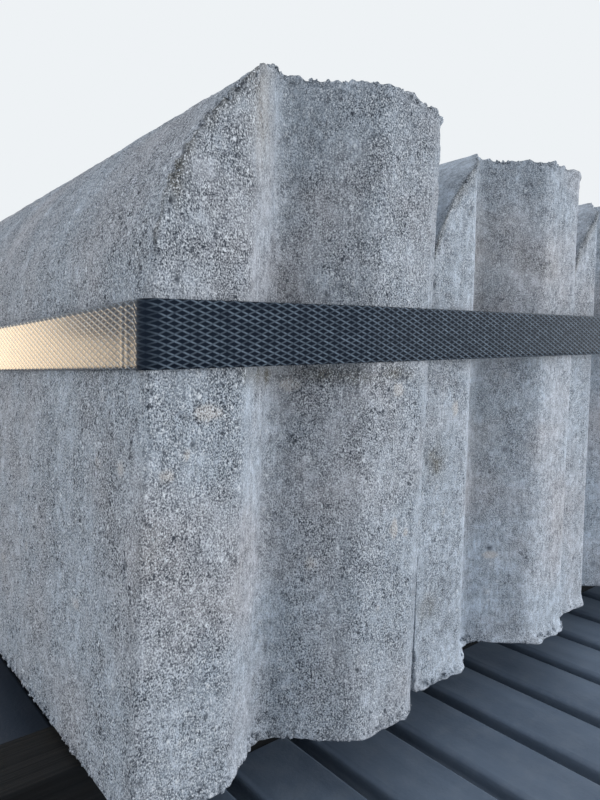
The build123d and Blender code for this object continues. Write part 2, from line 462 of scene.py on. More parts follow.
def polish(points, normals, near_rim, near):
    """How smooth the mould left each point: above 0 is calmer than the bare mix, below 0 is coarser."""
    on_shoulder = np.clip((normals[:, 2] - 0.15) * 4, 0, 1) * (points[:, 0] < SHOULDER_RUN + 3)
    end_polish = np.interp(points[:, 0], POLISH_PLACES, NEAR_POLISH if near else FAR_POLISH)
    shoulder_polish = NEAR_SHOULDER_POLISH if near else FAR_SHOULDER_POLISH
    long_polish = SIDE_POLISH + (shoulder_polish - SIDE_POLISH) * on_shoulder
    on_end = np.clip((abs(normals[:, 1]) - 0.4) * 4, 0, 1)
    return on_end, np.where(on_end > 0.5, end_polish, long_polish * np.clip(near_rim / EDGE_BAND, 0, 1))


def pits_and_stones(place, points, edge, on_end, smooth, marks, smallest):
    """Strengths of pits, pebbles and the crumbled band along the shoulder; the marks are given one by one."""
    below = top(points[:, 0]) - points[:, 2]
    crumbled = np.clip(1 - below / CRUMBLED_BAND, 0, 1) * (points[:, 0] < SHOULDER_RUN)
    crumbled = crumbled * np.clip((HEIGHT - 4 - points[:, 2]) / 10, 0, 1) * on_end
    bare = 1 - np.clip(smooth, 0, 1)
    pits = dots(place, PIT_CELL, PIT_CHANCE, smallest, smallest + PIT_SPREAD, 31)
    edge_pits = dots(place, EDGE_PIT_CELL, EDGE_PIT_CHANCE, smallest * 0.9, smallest + 0.6, 41)
    edge_pits = edge_pits * edge * (points[:, 2] > 8)
    chance = CRUMBLED_CHANCE * crumbled
    bites = dots(place, CRUMBLED_CELL, chance, smallest * 0.8, smallest + 0.7, 43)
    pits = np.maximum(pits, np.maximum(edge_pits, bites)) * (0.3 + 0.7 * bare)
    stones = dots(place, STONE_CELL, STONE_CHANCE, *STONE_SIZES, 51) * bare
    front = on_front(points)
    for across, up, wide, high in marks["pebbles"]:
        away = np.hypot((points[:, 0] - across) / wide, (points[:, 2] - up) / high)
        uneven = away / (1 + 0.35 * noise(place, (2.5, 2.5, 2.5), 26))
        stones = np.maximum(stones, 2.5 * (1 - uneven**2) * front)
    for across, up, size in marks["pits"]:
        away = np.hypot(points[:, 0] - across, points[:, 2] - up) / size
        pits = np.maximum(pits, (1 - away**2) * front)
    return pits, np.clip(stones, 0, 1), crumbled


def relief(points, normals, near_rim, bitten, seed, marks, spacing):
    """Where each point moves to, and what it is: pit, pebble, smooth or crumbled."""
    place = points + np.array([seed * BLOCK_SHIFT[0], seed * BLOCK_SHIFT[1], 0])
    edge = np.clip(1 - near_rim / EDGE_BAND, 0, 1)
    on_end, smooth = polish(points, normals, near_rim, seed == 1)
    rough = 1 - POLISH_CALMS * smooth
    height, size, wave_seed, octaves = MOULD_WAVE
    out = height * noise(place, size, wave_seed, octaves)
    for height, size, wave_seed, octaves in ROUGH_WAVES:
        out += height * rough * noise(place, size, wave_seed, octaves)
    on_line = (points[:, 2] > top(points[:, 0]) - 4) | (points[:, 2] < 6)
    crumbly = np.where(on_line, LINE_LUMPS, SIDE_LUMPS)
    out += (crumbly + 0.5 * bitten) * edge * noise(place, (LUMP_SIZE + spacing,) * 3, 25, 1)
    out += 0.2 * edge - 0.5 * edge * bitten

    smallest = max(0.7, spacing)
    pits, stones, crumbled = pits_and_stones(place, points, edge, on_end, smooth, marks, smallest)
    out += STONE_HEIGHT * np.sqrt(stones) - PIT_DEPTH * pits * (1 - stones)

    strap_up = STRAP_HEIGHT + (seed - 1) * STRAP_RISE_PER_BLOCK
    free = np.clip((abs(points[:, 2] - strap_up) - STRAP_REACH) / 3, 0, 1)
    under = np.clip(-normals[:, 2] * 1.5 - 0.3, 0, 1)
    out = np.minimum(out - SUNK, HIGHEST + EDGE_RISE * edge * free) * (1 - under)
    pressed = normals[:, 0] if seed == 1 else abs(normals[:, 0])
    out = out * (1 - np.clip(1.3 * pressed, 0, 1) * (points[:, 2] < SHOULDER_FOOT + 20))

    low = np.clip(1 - points[:, 2] / LIP_HEIGHT, 0, 1) ** 1.5
    low = low * np.clip((THICKNESS - points[:, 0]) / LIP_FADE, 0, 1)
    forward = marks["lip"] * low * on_end * on_front(points) * (0.8 + 0.6 * noise(place, (7, 7, 7), 27))
    moved = points + normals * out[:, None] - np.stack([0 * out, forward, 0 * out], axis=1)
    return moved, {"pit": pits * (1 - stones), "pebble": stones, "smooth": smooth, "crumbled": crumbled}


def mesh_piece(name, points, faces, material):
    """A smooth-shaded object from points in millimetres."""
    mesh = bpy.data.meshes.new(name)
    mesh.from_pydata((points * MM).tolist(), [], faces)
    mesh.polygons.foreach_set("use_smooth", [True] * len(mesh.polygons))
    mesh.materials.append(material)
    piece = bpy.data.objects.new(name, mesh)
    bpy.context.scene.collection.objects.link(piece)
    return piece


def vertex_normals(mesh):
    values = np.zeros(len(mesh.vertices) * 3)
    mesh.vertex_normals.foreach_get("vector", values)
    return values.reshape(-1, 3)


trial_pits = dots(trial, PIT_CELL, PIT_CHANCE, LUMP_SIZE, LUMP_SIZE + PIT_SPREAD, 31)
print("pits cover", round(100 * float((trial_pits > 0).mean()), 1), "percent of the coarse block's points")

# %% [markdown]
# Colours are written as the sRGB hex values that a paint chart or a picture would give, but shaders
# calculate with linear light, so one function converts them. Node trees are easier to read when a node,
# its settings and its links are on one line, so another small function adds a node.

# %% Colour and node helpers
def linear(code):
    """Linear colour of an sRGB hex code."""
    parts = [int(code[start : start + 2], 16) / 255 for start in (1, 3, 5)]
    return [part / 12.92 if part <= 0.04045 else ((part + 0.055) / 1.055) ** 2.4 for part in parts] + [1.0]


def node(tree, kind, sockets=(), **settings):
    """Adds a node, makes its settings, and sets or links its sockets; a node given for a socket links
    by its first output in use."""
    made = tree.nodes.new(kind)
    for name, value in settings.items():
        setattr(made, name, value)
    for key, value in dict(sockets).items():
        if isinstance(value, bpy.types.Node):
            value = next(socket for socket in value.outputs if socket.enabled)
        if isinstance(value, bpy.types.NodeSocket):
            tree.links.new(value, made.inputs[key])
        else:
            made.inputs[key].default_value = value
    return made


def new_material(name):
    """A material with an empty tree, and that tree."""
    material = bpy.data.materials.new(name)
    material.use_nodes = True
    material.node_tree.nodes.clear()
    return material, material.node_tree


print("the hex value #808080 is", round(linear("#808080")[0], 3), "in linear light")

# %% [markdown]
# Dry-cast concrete is sand and cement pressed nearly dry. The cement paste doesn't fill the gaps, so the
# surface is a salt-and-pepper of pale grains and open pores about half a millimetre wide. The pores, pits
# and bites are coloured dark: painted shade, for the shadow inside each hollow. Painted noise
# alone would look printed, so the same grain also drives the bump. Concrete has an IOR near 1.5 and no
# polish at all, which keeps the roughness near 0.9.

# %% Dry-cast concrete
PASTE = linear("#a3adb8")
PASTE_WARM = linear("#a7a9af")
PORE_SHADE = linear("#3f454e")
GRAIN = linear("#dde3e9")
PEBBLE = linear("#c6c5c5")
STAIN = linear("#77705f")
TAN = linear("#a59886")
SOIL = linear("#5d5848")
GRAIN_SIZE = 0.2
DRAG_LENGTH = 9.0
PORE_SIZE = 0.8
CLUMP_SIZE = 1.3
CLUSTER_SIZE = 6.0
GRAIN_STRETCH = 1.2
DRAG_SCALE = 1.4
BAND_SCALE = 0.16
SPECK_SPACING = 2.8
SPECK_RAGGED = 1.6
CHIP_SPACING = 3.1
POLISH_AND_LIGHT_LIFT = 1.22
STAIN_SIZE = 28.0
FOOT_LEVEL = 0.17
TONE_RAMP_HEIGHT = 0.19
GRAIN_RELIEF = 0.00014


def dry_cast_concrete():
    material, tree = new_material("dry_cast_concrete")
    coords = node(tree, "ShaderNodeTexCoord").outputs["Object"]
    mm = node(tree, "ShaderNodeMapping", {"Vector": coords, "Scale": (1000, 1000, 1000)})
    drag = node(tree, "ShaderNodeMapping", {"Vector": coords, "Scale": (1000, 1000, 1000 / DRAG_LENGTH)})
    upright = node(tree, "ShaderNodeMapping", {"Vector": mm, "Scale": (1, 1, 1 / GRAIN_STRETCH)})
    named = {}
    for name in ("pit", "pebble", "smooth", "tan", "soil"):
        named[name] = node(tree, "ShaderNodeAttribute", attribute_name=name).outputs["Fac"]

    noises = {}
    for name, space, scale, detail, roughness in (
        ("grain", upright, 0.5 / GRAIN_SIZE, 2, 0.6),
        ("clump", upright, 0.5 / CLUMP_SIZE, 2, 0.5),
        ("pores", upright, 0.5 / PORE_SIZE, 3, 0.7),
        ("drags", drag, DRAG_SCALE, 3, 0.6),
        ("slow", drag, BAND_SCALE, 2, 0.6),
        ("broad", mm, 0.5 / STAIN_SIZE, 4, 0.6),
        ("patch", mm, 0.5 / CLUSTER_SIZE, 3, 0.6),
    ):
        sockets = {"Vector": space, "Scale": scale, "Detail": detail, "Roughness": roughness}
        noises[name] = node(tree, "ShaderNodeTexNoise", sockets)

    ragged = node(tree, "ShaderNodeTexNoise", {"Vector": mm, "Scale": 0.9, "Detail": 3}).outputs["Color"]
    jumble = {0: ragged, 1: (SPECK_RAGGED,) * 3, 2: upright}
    shifted = node(tree, "ShaderNodeVectorMath", jumble, operation="MULTIPLY_ADD")
    scattered = []
    for spacing, rarity in ((SPECK_SPACING, 0.5), (CHIP_SPACING, 0.55)):
        cells = node(tree, "ShaderNodeTexVoronoi", {"Vector": shifted, "Scale": 1 / spacing})
        spot = node(tree, "ShaderNodeMapRange", {0: cells.outputs["Distance"], 1: 0.24, 2: 0.10})
        drawn = {0: cells.outputs["Color"], 1: rarity}
        kept = node(tree, "ShaderNodeMath", drawn, operation="GREATER_THAN")
        scattered.append(node(tree, "ShaderNodeMath", {0: spot, 1: kept}, operation="MULTIPLY"))

    even = node(tree, "ShaderNodeMapRange", {0: named["smooth"], 1: -0.5, 3: 1.27, 4: 0.45})
    clustered = node(tree, "ShaderNodeMapRange", {0: noises["patch"], 1: 0.35, 2: 0.62, 3: 1.1, 4: 0.55})
    loose = node(tree, "ShaderNodeMath", {0: even, 1: clustered}, operation="MULTIPLY")
    dark = node(tree, "ShaderNodeMapRange", {0: noises["grain"], 1: 0.485, 2: 0.37})
    deep = node(tree, "ShaderNodeMapRange", {0: noises["pores"], 1: 0.425, 2: 0.33})
    gaps = node(tree, "ShaderNodeMath", {0: dark, 1: deep}, operation="MAXIMUM")
    gaps = node(tree, "ShaderNodeMath", {0: gaps, 1: scattered[0]}, operation="MAXIMUM")
    rough_gaps = node(tree, "ShaderNodeMath", {0: gaps, 1: loose}, operation="MULTIPLY")
    # Painted shade: pores, pits and bites are coloured dark for the shadow inside them.
    shaded_pits = node(tree, "ShaderNodeMath", {0: rough_gaps, 1: named["pit"]}, operation="MAXIMUM")
    pale = node(tree, "ShaderNodeMapRange", {0: noises["grain"], 1: 0.53, 2: 0.66})
    pale = node(tree, "ShaderNodeMath", {0: pale, 1: scattered[1]}, operation="MAXIMUM")
    rough_pale = node(tree, "ShaderNodeMath", {0: pale, 1: even}, operation="MULTIPLY")

    warmth = node(tree, "ShaderNodeMapRange", {0: noises["broad"], 1: 0.42, 2: 0.62})
    paste = node(tree, "ShaderNodeMix", {0: warmth, 6: PASTE, 7: PASTE_WARM}, data_type="RGBA")
    shade = node(tree, "ShaderNodeMapRange", {0: noises["patch"], 1: 0.3, 2: 0.7, 3: 0.83, 4: 1.13})
    streak = node(tree, "ShaderNodeMapRange", {0: noises["drags"], 1: 0.3, 2: 0.7, 3: 0.80, 4: 1.18})
    lumpy = node(tree, "ShaderNodeMapRange", {0: noises["clump"], 1: 0.32, 2: 0.68, 3: 0.75, 4: 1.21})
    # Smoother places are drawn lighter. This is partly the calmer face and partly painted light, lifting the grooves'
    # walls and the far blocks' shoulders that the first block shades.
    polish_and_light = node(tree, "ShaderNodeMapRange", {0: named["smooth"], 3: 1.0, 4: POLISH_AND_LIGHT_LIFT})
    banded = node(tree, "ShaderNodeMapRange", {0: noises["slow"], 1: 0.3, 2: 0.7, 3: 0.9, 4: 1.1})
    height = node(tree, "ShaderNodeSeparateXYZ", {0: coords}).outputs[2]
    # Paler towards the foot and darker towards the head, set by height alone.
    levels = {0: height, 1: FOOT_LEVEL + TONE_RAMP_HEIGHT, 2: FOOT_LEVEL, 3: 0.91, 4: 1.12}
    height_tone = node(tree, "ShaderNodeMapRange", levels)
    tone = shade
    for layer in (streak, lumpy, polish_and_light, banded, height_tone):
        tone = node(tree, "ShaderNodeMath", {0: tone, 1: layer}, operation="MULTIPLY")
    toned = node(tree, "ShaderNodeVectorMath", {0: paste, "Scale": tone}, operation="SCALE")
    soiled = node(tree, "ShaderNodeMapRange", {0: noises["broad"], 1: 0.62, 2: 0.76, 4: 0.4})
    colour = toned
    for amount, over in (
        (soiled, STAIN),
        (named["tan"], TAN),
        (named["soil"], SOIL),
        (named["pebble"], PEBBLE),
        (rough_pale, GRAIN),
        (shaded_pits, PORE_SHADE),
    ):
        colour = node(tree, "ShaderNodeMix", {0: amount, 6: colour, 7: over}, data_type="RGBA")

    relief_up = node(tree, "ShaderNodeMath", {0: rough_pale, 1: shaded_pits}, operation="SUBTRACT")
    bump = node(tree, "ShaderNodeBump", {"Strength": 0.8, "Distance": GRAIN_RELIEF, "Height": relief_up})
    surface = node(
        tree,
        "ShaderNodeBsdfPrincipled",
        {"Base Color": colour, "Roughness": 0.9, "IOR": 1.5, "Specular IOR Level": 0.25, "Normal": bump},
    )
    node(tree, "ShaderNodeOutputMaterial", {"Surface": surface})
    return material


CONCRETE = dry_cast_concrete()
print(CONCRETE.name, "has", len(CONCRETE.node_tree.nodes), "nodes")

# %% [markdown]
# Now the eleven blocks. They come out of one mould, so they share one grid, but no two weather alike, so
# the noise starts elsewhere for each. The first two lean in where the strap pulls them together. The
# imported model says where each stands: the lowest, leftmost corner of its box is its lower left edge.

# %% Edging blocks
END_LEAN = radians(2.5)
SECOND_LEAN = radians(0.7)
MARKS = {
    1: {
        "pebbles": [
            (16.1, 96.5, 4.2, 2.4),
            (5.9, 81.8, 2.2, 1.6),
            (10.9, 86.6, 1.0, 1.4),
            (49.9, 103.9, 2.6, 1.6),
            (79.5, 104.0, 2.4, 2.4),
            (81.3, 61.4, 1.8, 3.4),
            (87.0, 59.8, 1.6, 1.4),
        ],
        "pits": [
            (6.2, 157.0, 1.3),
            (11.1, 164.3, 1.4),
            (15.8, 170.4, 1.0),
            (20.3, 174.9, 1.0),
            (4.0, 144.8, 0.9),
        ],
        "lip": 2.2,
    },
    2: {
        "pebbles": [(18.0, 96.2, 2.0, 2.8), (54.4, 35.8, 2.6, 1.6)],
        "pits": [(54.0, 38.5, 1.4)],
        "lip": 3.0,
    },
}
PLAIN_MARKS = {"pebbles": [], "pits": [], "lip": 1.8}
TAN_SPOT = (31.0, 174.0, 7.0, 16.0, 0.45)
SOIL_ON_SHOULDER = 0.55
SOIL_SPOTS = {
    1: [
        (38.0, 106.5, 13.0, 3.0, 0.7),
        (60.0, 107.5, 12.0, 2.4, 0.7),
        (79.0, 109.0, 9.0, 2.0, 0.7),
        (5.0, 150.0, 2.6, 7.0, 0.7),
    ],
    2: [
        (8.4, 78.6, 5.0, 6.0, 0.7),
        (6.7, 27.8, 5.0, 5.0, 0.7),
        (70.0, 118.0, 8.0, 4.0, 0.5),
        (46.0, 152.0, 9.0, 22.0, 0.28),
        (50.0, 86.0, 8.0, 26.0, 0.22),
        (72.0, 150.0, 5.0, 9.0, 0.25),
    ],
}

detail = {
    1: {"columns": 192, "rows": 256, "spacing": 0.7},
    2: {"columns": 128, "rows": 192, "spacing": 1.0},
}
plain_detail = {"columns": 96, "rows": 128, "spacing": 1.5}


def ring_steps(index):
    """How many places each ring of a block skips on its left, over, right and under sides."""
    if index == 1:
        return lambda away: (1, 1, 8, 8) if away < 14 else (2, 2, 8, 8) if away < 285 else (8, 8, 16, 16)
    right = 4 if index == 11 else 8
    return lambda away: (2, 2, right, 8) if away < 60 or away > 560 else (4, 4, right, 8)


def ring_stations(index):
    """How far along a block each ring lies: close together near the ends that are seen."""
    if index == 1:
        near = [*np.arange(0.8, 14, 0.9), *np.arange(14, 120, 1.7), *np.arange(121, 290, 2.8)]
        return near + [*np.arange(298, 580, 11), 585, 591, 595, 597.5, 599]
    fine = 1.2 if index == 2 else 1.6
    near = [fine * step for step in range(1, 9)] + [*np.arange(16, 64, 3.5)]
    return near + [*np.arange(68, 560, 9), *np.arange(562, 590, 5), 593, 596, 598.2]


def standing(index, points):
    """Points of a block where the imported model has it, leaning about its lower right edge."""
    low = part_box(f"edging_block_{index:02d}")[0]
    lean = {1: END_LEAN, 2: SECOND_LEAN}.get(index, 0.0)
    across, along, up = (points - [THICKNESS, 0, 0]).T
    x = low.x / MM + THICKNESS * cos(lean) + across * cos(lean) + up * sin(lean)
    y = low.y / MM + TONGUE_HEIGHT + along
    z = low.z / MM - across * sin(lean) + up * cos(lean)
    return np.stack([x, y, np.minimum(z, cad_high.z / MM)], axis=1)


def soft_spot(points, across, up, wide, high, strength):
    """A stain on the front end that fades out from its middle."""
    away = ((points[:, 0] - across) / wide) ** 2 + ((points[:, 2] - up) / high) ** 2
    return strength * np.exp(-away) * on_front(points)


def edging_block(index):
    size = detail.get(index, plain_detail)
    far_step = 4 if index == 1 else 2
    rings = ring_steps(index), ring_stations(index)
    spots, faces = block_grid(size["columns"], size["rows"], *rings, far_step)
    points, near_rim, bitten = worn_block(spots, index)
    piece = mesh_piece(f"cast_block_{index:02d}", points, faces, CONCRETE)
    normals = vertex_normals(piece.data)
    marks = MARKS.get(index, PLAIN_MARKS)
    moved, looks = relief(points, normals, near_rim, bitten, index, marks, size["spacing"])
    looks["tan"] = soft_spot(points, *TAN_SPOT) * (index == 1)
    uneven = 1 + 0.8 * noise(points, (3, 3, 3), 28)
    looks["soil"] = SOIL_ON_SHOULDER * looks.pop("crumbled") * uneven
    for spot in SOIL_SPOTS.get(index, []):
        looks["soil"] = np.maximum(looks["soil"], soft_spot(points, *spot) * uneven)
    points = standing(index, moved)
    piece.data.vertices.foreach_set("co", (points * MM).ravel())
    piece.data.update()
    for name, values in looks.items():
        layer = piece.data.attributes.new(name, "FLOAT", "POINT")
        layer.data.foreach_set("value", values.astype(np.float32))
    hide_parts(f"edging_block_{index:02d}")
    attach(piece, "root")
    return piece


total_triangles = 0
for index in range(1, 12):
    made = edging_block(index)
    triangles = sum(len(face.vertices) - 2 for face in made.data.polygons)
    total_triangles += triangles
    print(made.name, triangles, "triangles")
print("all blocks together:", total_triangles, "triangles")

# %% [markdown]
# Where the mould let go, whole crumbs of damp mix stay on the edges: the heads and the feet are fringed
# with lumps of half a millimetre to about two and a half. Displacing the blocks' own faces can't make them, because a
# crumb overhangs. So each is a small closed ball, squashed and dented, pressed into the edge. They are
# joined into one mesh for each block, with most of them where the camera is near.

# %% Edge crumbs
def ball():
    """Points and faces of a round ball, the start of every crumb."""
    shape = bmesh.new()
    bmesh.ops.create_icosphere(shape, subdivisions=2, radius=1)
    points = np.array([tuple(vertex.co) for vertex in shape.verts])
    faces = np.array([[vertex.index for vertex in face.verts] for face in shape.faces])
    shape.free()
    return points, faces


BALL_POINTS, BALL_FACES = ball()


def edge_spots(rng, count, line, inward, scatter):
    """Random places along a block's edge, each a little way in along one of its two faces."""
    places = line(rng.uniform(0, 1, count)) + 0.45 * np.sum(inward, axis=0)
    way = np.array(inward)[rng.integers(0, 2, count)]
    return places + way * (abs(rng.normal(0, scatter, count)))[:, None]


def end_edge(left, right, height):
    """Places along the front end between two distances across, at a height that may change."""

    def line(share):
        x = left + share * (right - left)
        return np.stack([x, end_depth(x), height(x)], axis=1)

    return line


def straight_edge(start, stop):
    return lambda share: np.array(start) + share[:, None] * np.subtract(stop, start)


EDGES = {
    "head": (end_edge(SHOULDER_RUN, THICKNESS - 5, top), [(0, 0, -1), (0, 1, 0)], 1.1, (0.35, 1.0)),
    "shoulder": (end_edge(0, SHOULDER_RUN, top), [(0.4, 0, -0.9), (0, 1, 0)], 0.9, (0.3, 0.65)),
    "foot": (end_edge(1, THICKNESS - 1, np.zeros_like), [(0, 0, 1), (0, 0.4, 0)], 1.0, (0.35, 1.05)),
    "side_foot": (straight_edge((0, 2, 0), (0, 282, 0)), [(0, 0, 1), (0.3, 0, 0)], 0.6, (0.35, 1.15)),
    "corner": (straight_edge((0, 0, 3), (0, 0, 128)), [(1, 0, 0), (0, 1, 0)], 0.6, (0.25, 0.45)),
    "joint": (
        straight_edge((-1.5, 0.2, 3), (-0.4, 0.2, 133)),
        [(0.1, 0.2, 0), (0.1, 0.4, 0)],
        0.3,
        (0.5, 0.85),
    ),
    "outer": (
        straight_edge((THICKNESS, 0, 3), (THICKNESS, 0, 183)),
        [(0.2, 0.6, 0), (0.2, 1, 0)],
        0.6,
        (0.25, 0.5),
    ),
}
CRUMB_COUNTS = {
    1: {"head": 80, "shoulder": 50, "foot": 120, "side_foot": 170, "corner": 30, "outer": 90},
    2: {"head": 60, "shoulder": 30, "foot": 90, "corner": 15, "joint": 260, "outer": 60},
    3: {"head": 40, "shoulder": 20, "foot": 60},
}
PLAIN_COUNTS = {"head": 30, "shoulder": 12, "foot": 40}
CRUMB_DENTS = 0.18
CRUMB_SEED = 100


def edge_crumbs(index):
    rng = np.random.default_rng(CRUMB_SEED + index)
    points, faces = [], []
    for name, count in CRUMB_COUNTS.get(index, PLAIN_COUNTS).items():
        line, inward, scatter, (smallest, largest) = EDGES[name]
        lip = MARKS.get(index, PLAIN_MARKS)["lip"] if name == "foot" else 0
        for place in edge_spots(rng, count, line, inward, scatter):
            radius = smallest + (largest - smallest) * rng.uniform() ** 2.5
            turned = np.linalg.qr(rng.normal(size=(3, 3)))[0]
            turned = turned * np.sign(np.linalg.det(turned))
            shape = BALL_POINTS * rng.uniform(0.6, 1.2, 3)
            shape = shape * (1 + CRUMB_DENTS * rng.normal(size=(len(BALL_POINTS), 1)))
            centre = place + 0.35 * radius * np.sum(inward, axis=0) - [0, 0.5 * lip, 0]
            faces.append(BALL_FACES + len(points) * len(BALL_POINTS))
            points.append(shape @ turned * radius + centre)
    points = standing(index, np.concatenate(points))
    piece = mesh_piece(f"edge_crumbs_{index:02d}", points, np.concatenate(faces).tolist(), CONCRETE)
    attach(piece, "root")
    return piece


for index in range(1, 12):
    made = edge_crumbs(index)
    print(made.name, len(made.data.polygons), "triangles")

# %% [markdown]
# The strap is black polyester, extruded as a flat band and embossed between rollers so that it grips. The
# rollers leave thin raised ridges that cross at a shallow angle round sunk diamonds. It is pulled tight
# round the row and melted together in a short lap on the far side. Its path is the same tight loop as in
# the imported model. A curve with a bevel could follow it, but a mesh of our own also carries flat
# coordinates in millimetres, along and across, that the embossing is drawn in.

# %% Strap path
STRAP_WIDTH = 16.0
STRAP_THICKNESS = 0.9
STRAP_CLEARANCE = 0.25
STRAP_RISE = 38.6
STRAP_DROP = 12.8
WELD_LENGTH = 38.0
BEND_RADIUS = 2.6
WRINKLES = (7.2, 10.0)
WRINKLE_HEIGHT = 0.05
ROW_WIDTH = 1089.0
THIRD_SETBACK = 5.5

first_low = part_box("edging_block_01")[0]
third_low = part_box("edging_block_03")[0]
last_low, last_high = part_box("edging_block_11")
row_front = (last_low.y / MM) + TONGUE_HEIGHT
lath_top = last_low.z / MM
row_right = last_high.x / MM
rise_across = STRAP_RISE / ROW_WIDTH
fall_along = -STRAP_DROP / LENGTH
crest = float(end_line[:, 1].max()) + LENGTH
contact = STRAP_HEIGHT - STRAP_WIDTH / 2 + fall_along * (LENGTH + GROOVE_VERTEX)
row_left = first_low.x / MM + THICKNESS * cos(END_LEAN) - THICKNESS / cos(END_LEAN)
row_left = row_left + contact * tan(END_LEAN)
third_left = third_low.x / MM
last_left = row_right - THICKNESS
loop_corners = [
    (row_left, 0),
    (row_left + TONGUE_START, -TONGUE_HEIGHT),
    (last_left + TONGUE_END, -TONGUE_HEIGHT),
    (row_right, 0),
    (row_right, LENGTH),
    (last_left + GROOVE_MIDDLE, crest),
    (third_left + GROOVE_MIDDLE, crest + THIRD_SETBACK),
    (row_left + GROOVE_MIDDLE, crest),
    (row_left, LENGTH),
]
loop_radii = [BEND_RADIUS, TONGUE_INNER_RADIUS, TONGUE_OUTER_RADIUS, ARRIS_RADIUS]
loop_radii += [ARRIS_RADIUS, GROOVE_RADIUS, GROOVE_RADIUS, GROOVE_RADIUS, ARRIS_RADIUS]
loop = rounded_path(loop_corners, loop_radii, 0.4, closed=True)
from_bend = np.arange(15, 3.5, -0.4)
wrinkle = sum(np.exp(-(((from_bend - middle) / 0.8) ** 2)) for middle in WRINKLES)
wrinkled = np.stack([row_left - WRINKLE_HEIGHT * wrinkle, from_bend], axis=1)
loop = np.concatenate([loop[:-1], wrinkled, loop[-1:]]) + np.array([0, row_front])
print("the strap is", round(float(np.linalg.norm(np.diff(loop, axis=0), axis=1).sum())), "mm round")

# %% [markdown]
# The band is a ring of sections: a flat oblong with slightly rounded edges is set at every point of the
# path, and neighbours are joined by faces. Where the lap is welded, the section is twice as thick.

# %% Strap mesh
def divided(path, spacing):
    """The path with its long runs divided, and the distance along it of each point."""
    points = [path[0]]
    for start, stop in zip(path[:-1], path[1:]):
        steps = max(1, ceil(np.linalg.norm(stop - start) / spacing))
        points += [start + (stop - start) * step / steps for step in range(1, steps + 1)]
    points = np.array(points)
    return points, np.concatenate([[0], np.cumsum(np.linalg.norm(np.diff(points, axis=0), axis=1))])


ACROSS_STEPS = 16
EDGE_ROUND = 0.25


def strap_section(extra):
    """Out and up positions round the band's section, from the lower outer edge up and back down inside."""
    half = STRAP_WIDTH / 2
    outside = STRAP_CLEARANCE + STRAP_THICKNESS + extra
    ups = np.linspace(-half + EDGE_ROUND, half - EDGE_ROUND, ACROSS_STEPS + 1)
    outer = [(outside, up) for up in ups]
    inner = [(STRAP_CLEARANCE, up) for up in ups[::-4]]
    rim_up = [(outside - EDGE_ROUND, half), (STRAP_CLEARANCE + EDGE_ROUND, half)]
    rim_down = [(STRAP_CLEARANCE + EDGE_ROUND, -half), (outside - EDGE_ROUND, -half)]
    return np.array(outer + rim_up + inner + rim_down)


def strap_band(material):
    path, run = divided(loop, 4.0)
    path, run = path[:-1], run[:-1]
    ahead = np.roll(path, -1, axis=0) - np.roll(path, 1, axis=0)
    outward = np.stack([ahead[:, 1], -ahead[:, 0]], axis=1) / np.linalg.norm(ahead, axis=1)[:, None]
    middle = lath_top + STRAP_HEIGHT + rise_across * (path[:, 0] - row_left)
    middle = middle + fall_along * (path[:, 1] - row_front)
    lapped = (path[:, 0] > row_right - 5) & (abs(path[:, 1]) < WELD_LENGTH / 2)
    points = []
    flat = []
    for place, out, height, along, lap in zip(path, outward, middle, run, lapped):
        section = strap_section(STRAP_THICKNESS if lap else 0)
        flats = place[None, :] + section[:, :1] * out[None, :]
        points.append(np.column_stack([flats, height + section[:, 1]]))
        flat.append(np.column_stack([np.full(len(section), along), section[:, 1]]))
    width = len(points[0])
    count = len(points)
    faces = []
    for ring in range(count):
        for spot in range(width):
            on = (spot + 1) % width
            after = (ring + 1) % count
            faces.append([ring * width + spot, after * width + spot, after * width + on, ring * width + on])
    piece = mesh_piece("embossed_strap", np.concatenate(points), faces, material)
    coordinates = np.concatenate(flat)
    layer = piece.data.uv_layers.new(name="along_and_across")
    corners = np.array([corner.vertex_index for corner in piece.data.loops])
    values = coordinates[corners].reshape(-1, 4, 2)
    values[-width:, 1:3, 0] = run[-1] + 4.0
    layer.data.foreach_set("uv", values.ravel())
    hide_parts("strap")
    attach(piece, "root")
    return piece


# %% [markdown]
# Embossed polyester is glossy where the rollers press it and a little scuffed on the ridges. The ridges
# are also drawn paler than the sunk diamonds, in patches: a painted highlight of the sky they catch. Near
# the bend at the first block they are drawn lower and darker, the darker colour being painted shade of the
# fold, and the gloss is tinted blue as a painted reflection of a blue sky. The pattern
# is two families of parallel lines that cross. Each family is a sum or a difference of the along and
# across coordinates, folded by a ping-pong into ridges. The first family is lower where the second
# crosses it, and the higher of the two is the relief. The diamonds are 3.9 mm long and 1.6 mm high, as
# measured.

# %% Embossed polyester
DIAMOND_LONG = 3.9
DIAMOND_HIGH = 1.6
STRAP_DARK = linear("#070d16")
RIDGE_HIGHLIGHT = linear("#8494a3")
# Painted reflection: the strap's gloss is tinted blue for a blue sky.
SKY_REFLECTION_TINT = linear("#b4d2ff")
EMBOSS_DEPTH = 0.00004
RIDGE_FOOT, RIDGE_TOP = 0.22, 0.02
SECOND_RIDGE = 0.55
CROSSING = 0.6
BEND_SHADE_REACH = 6.0


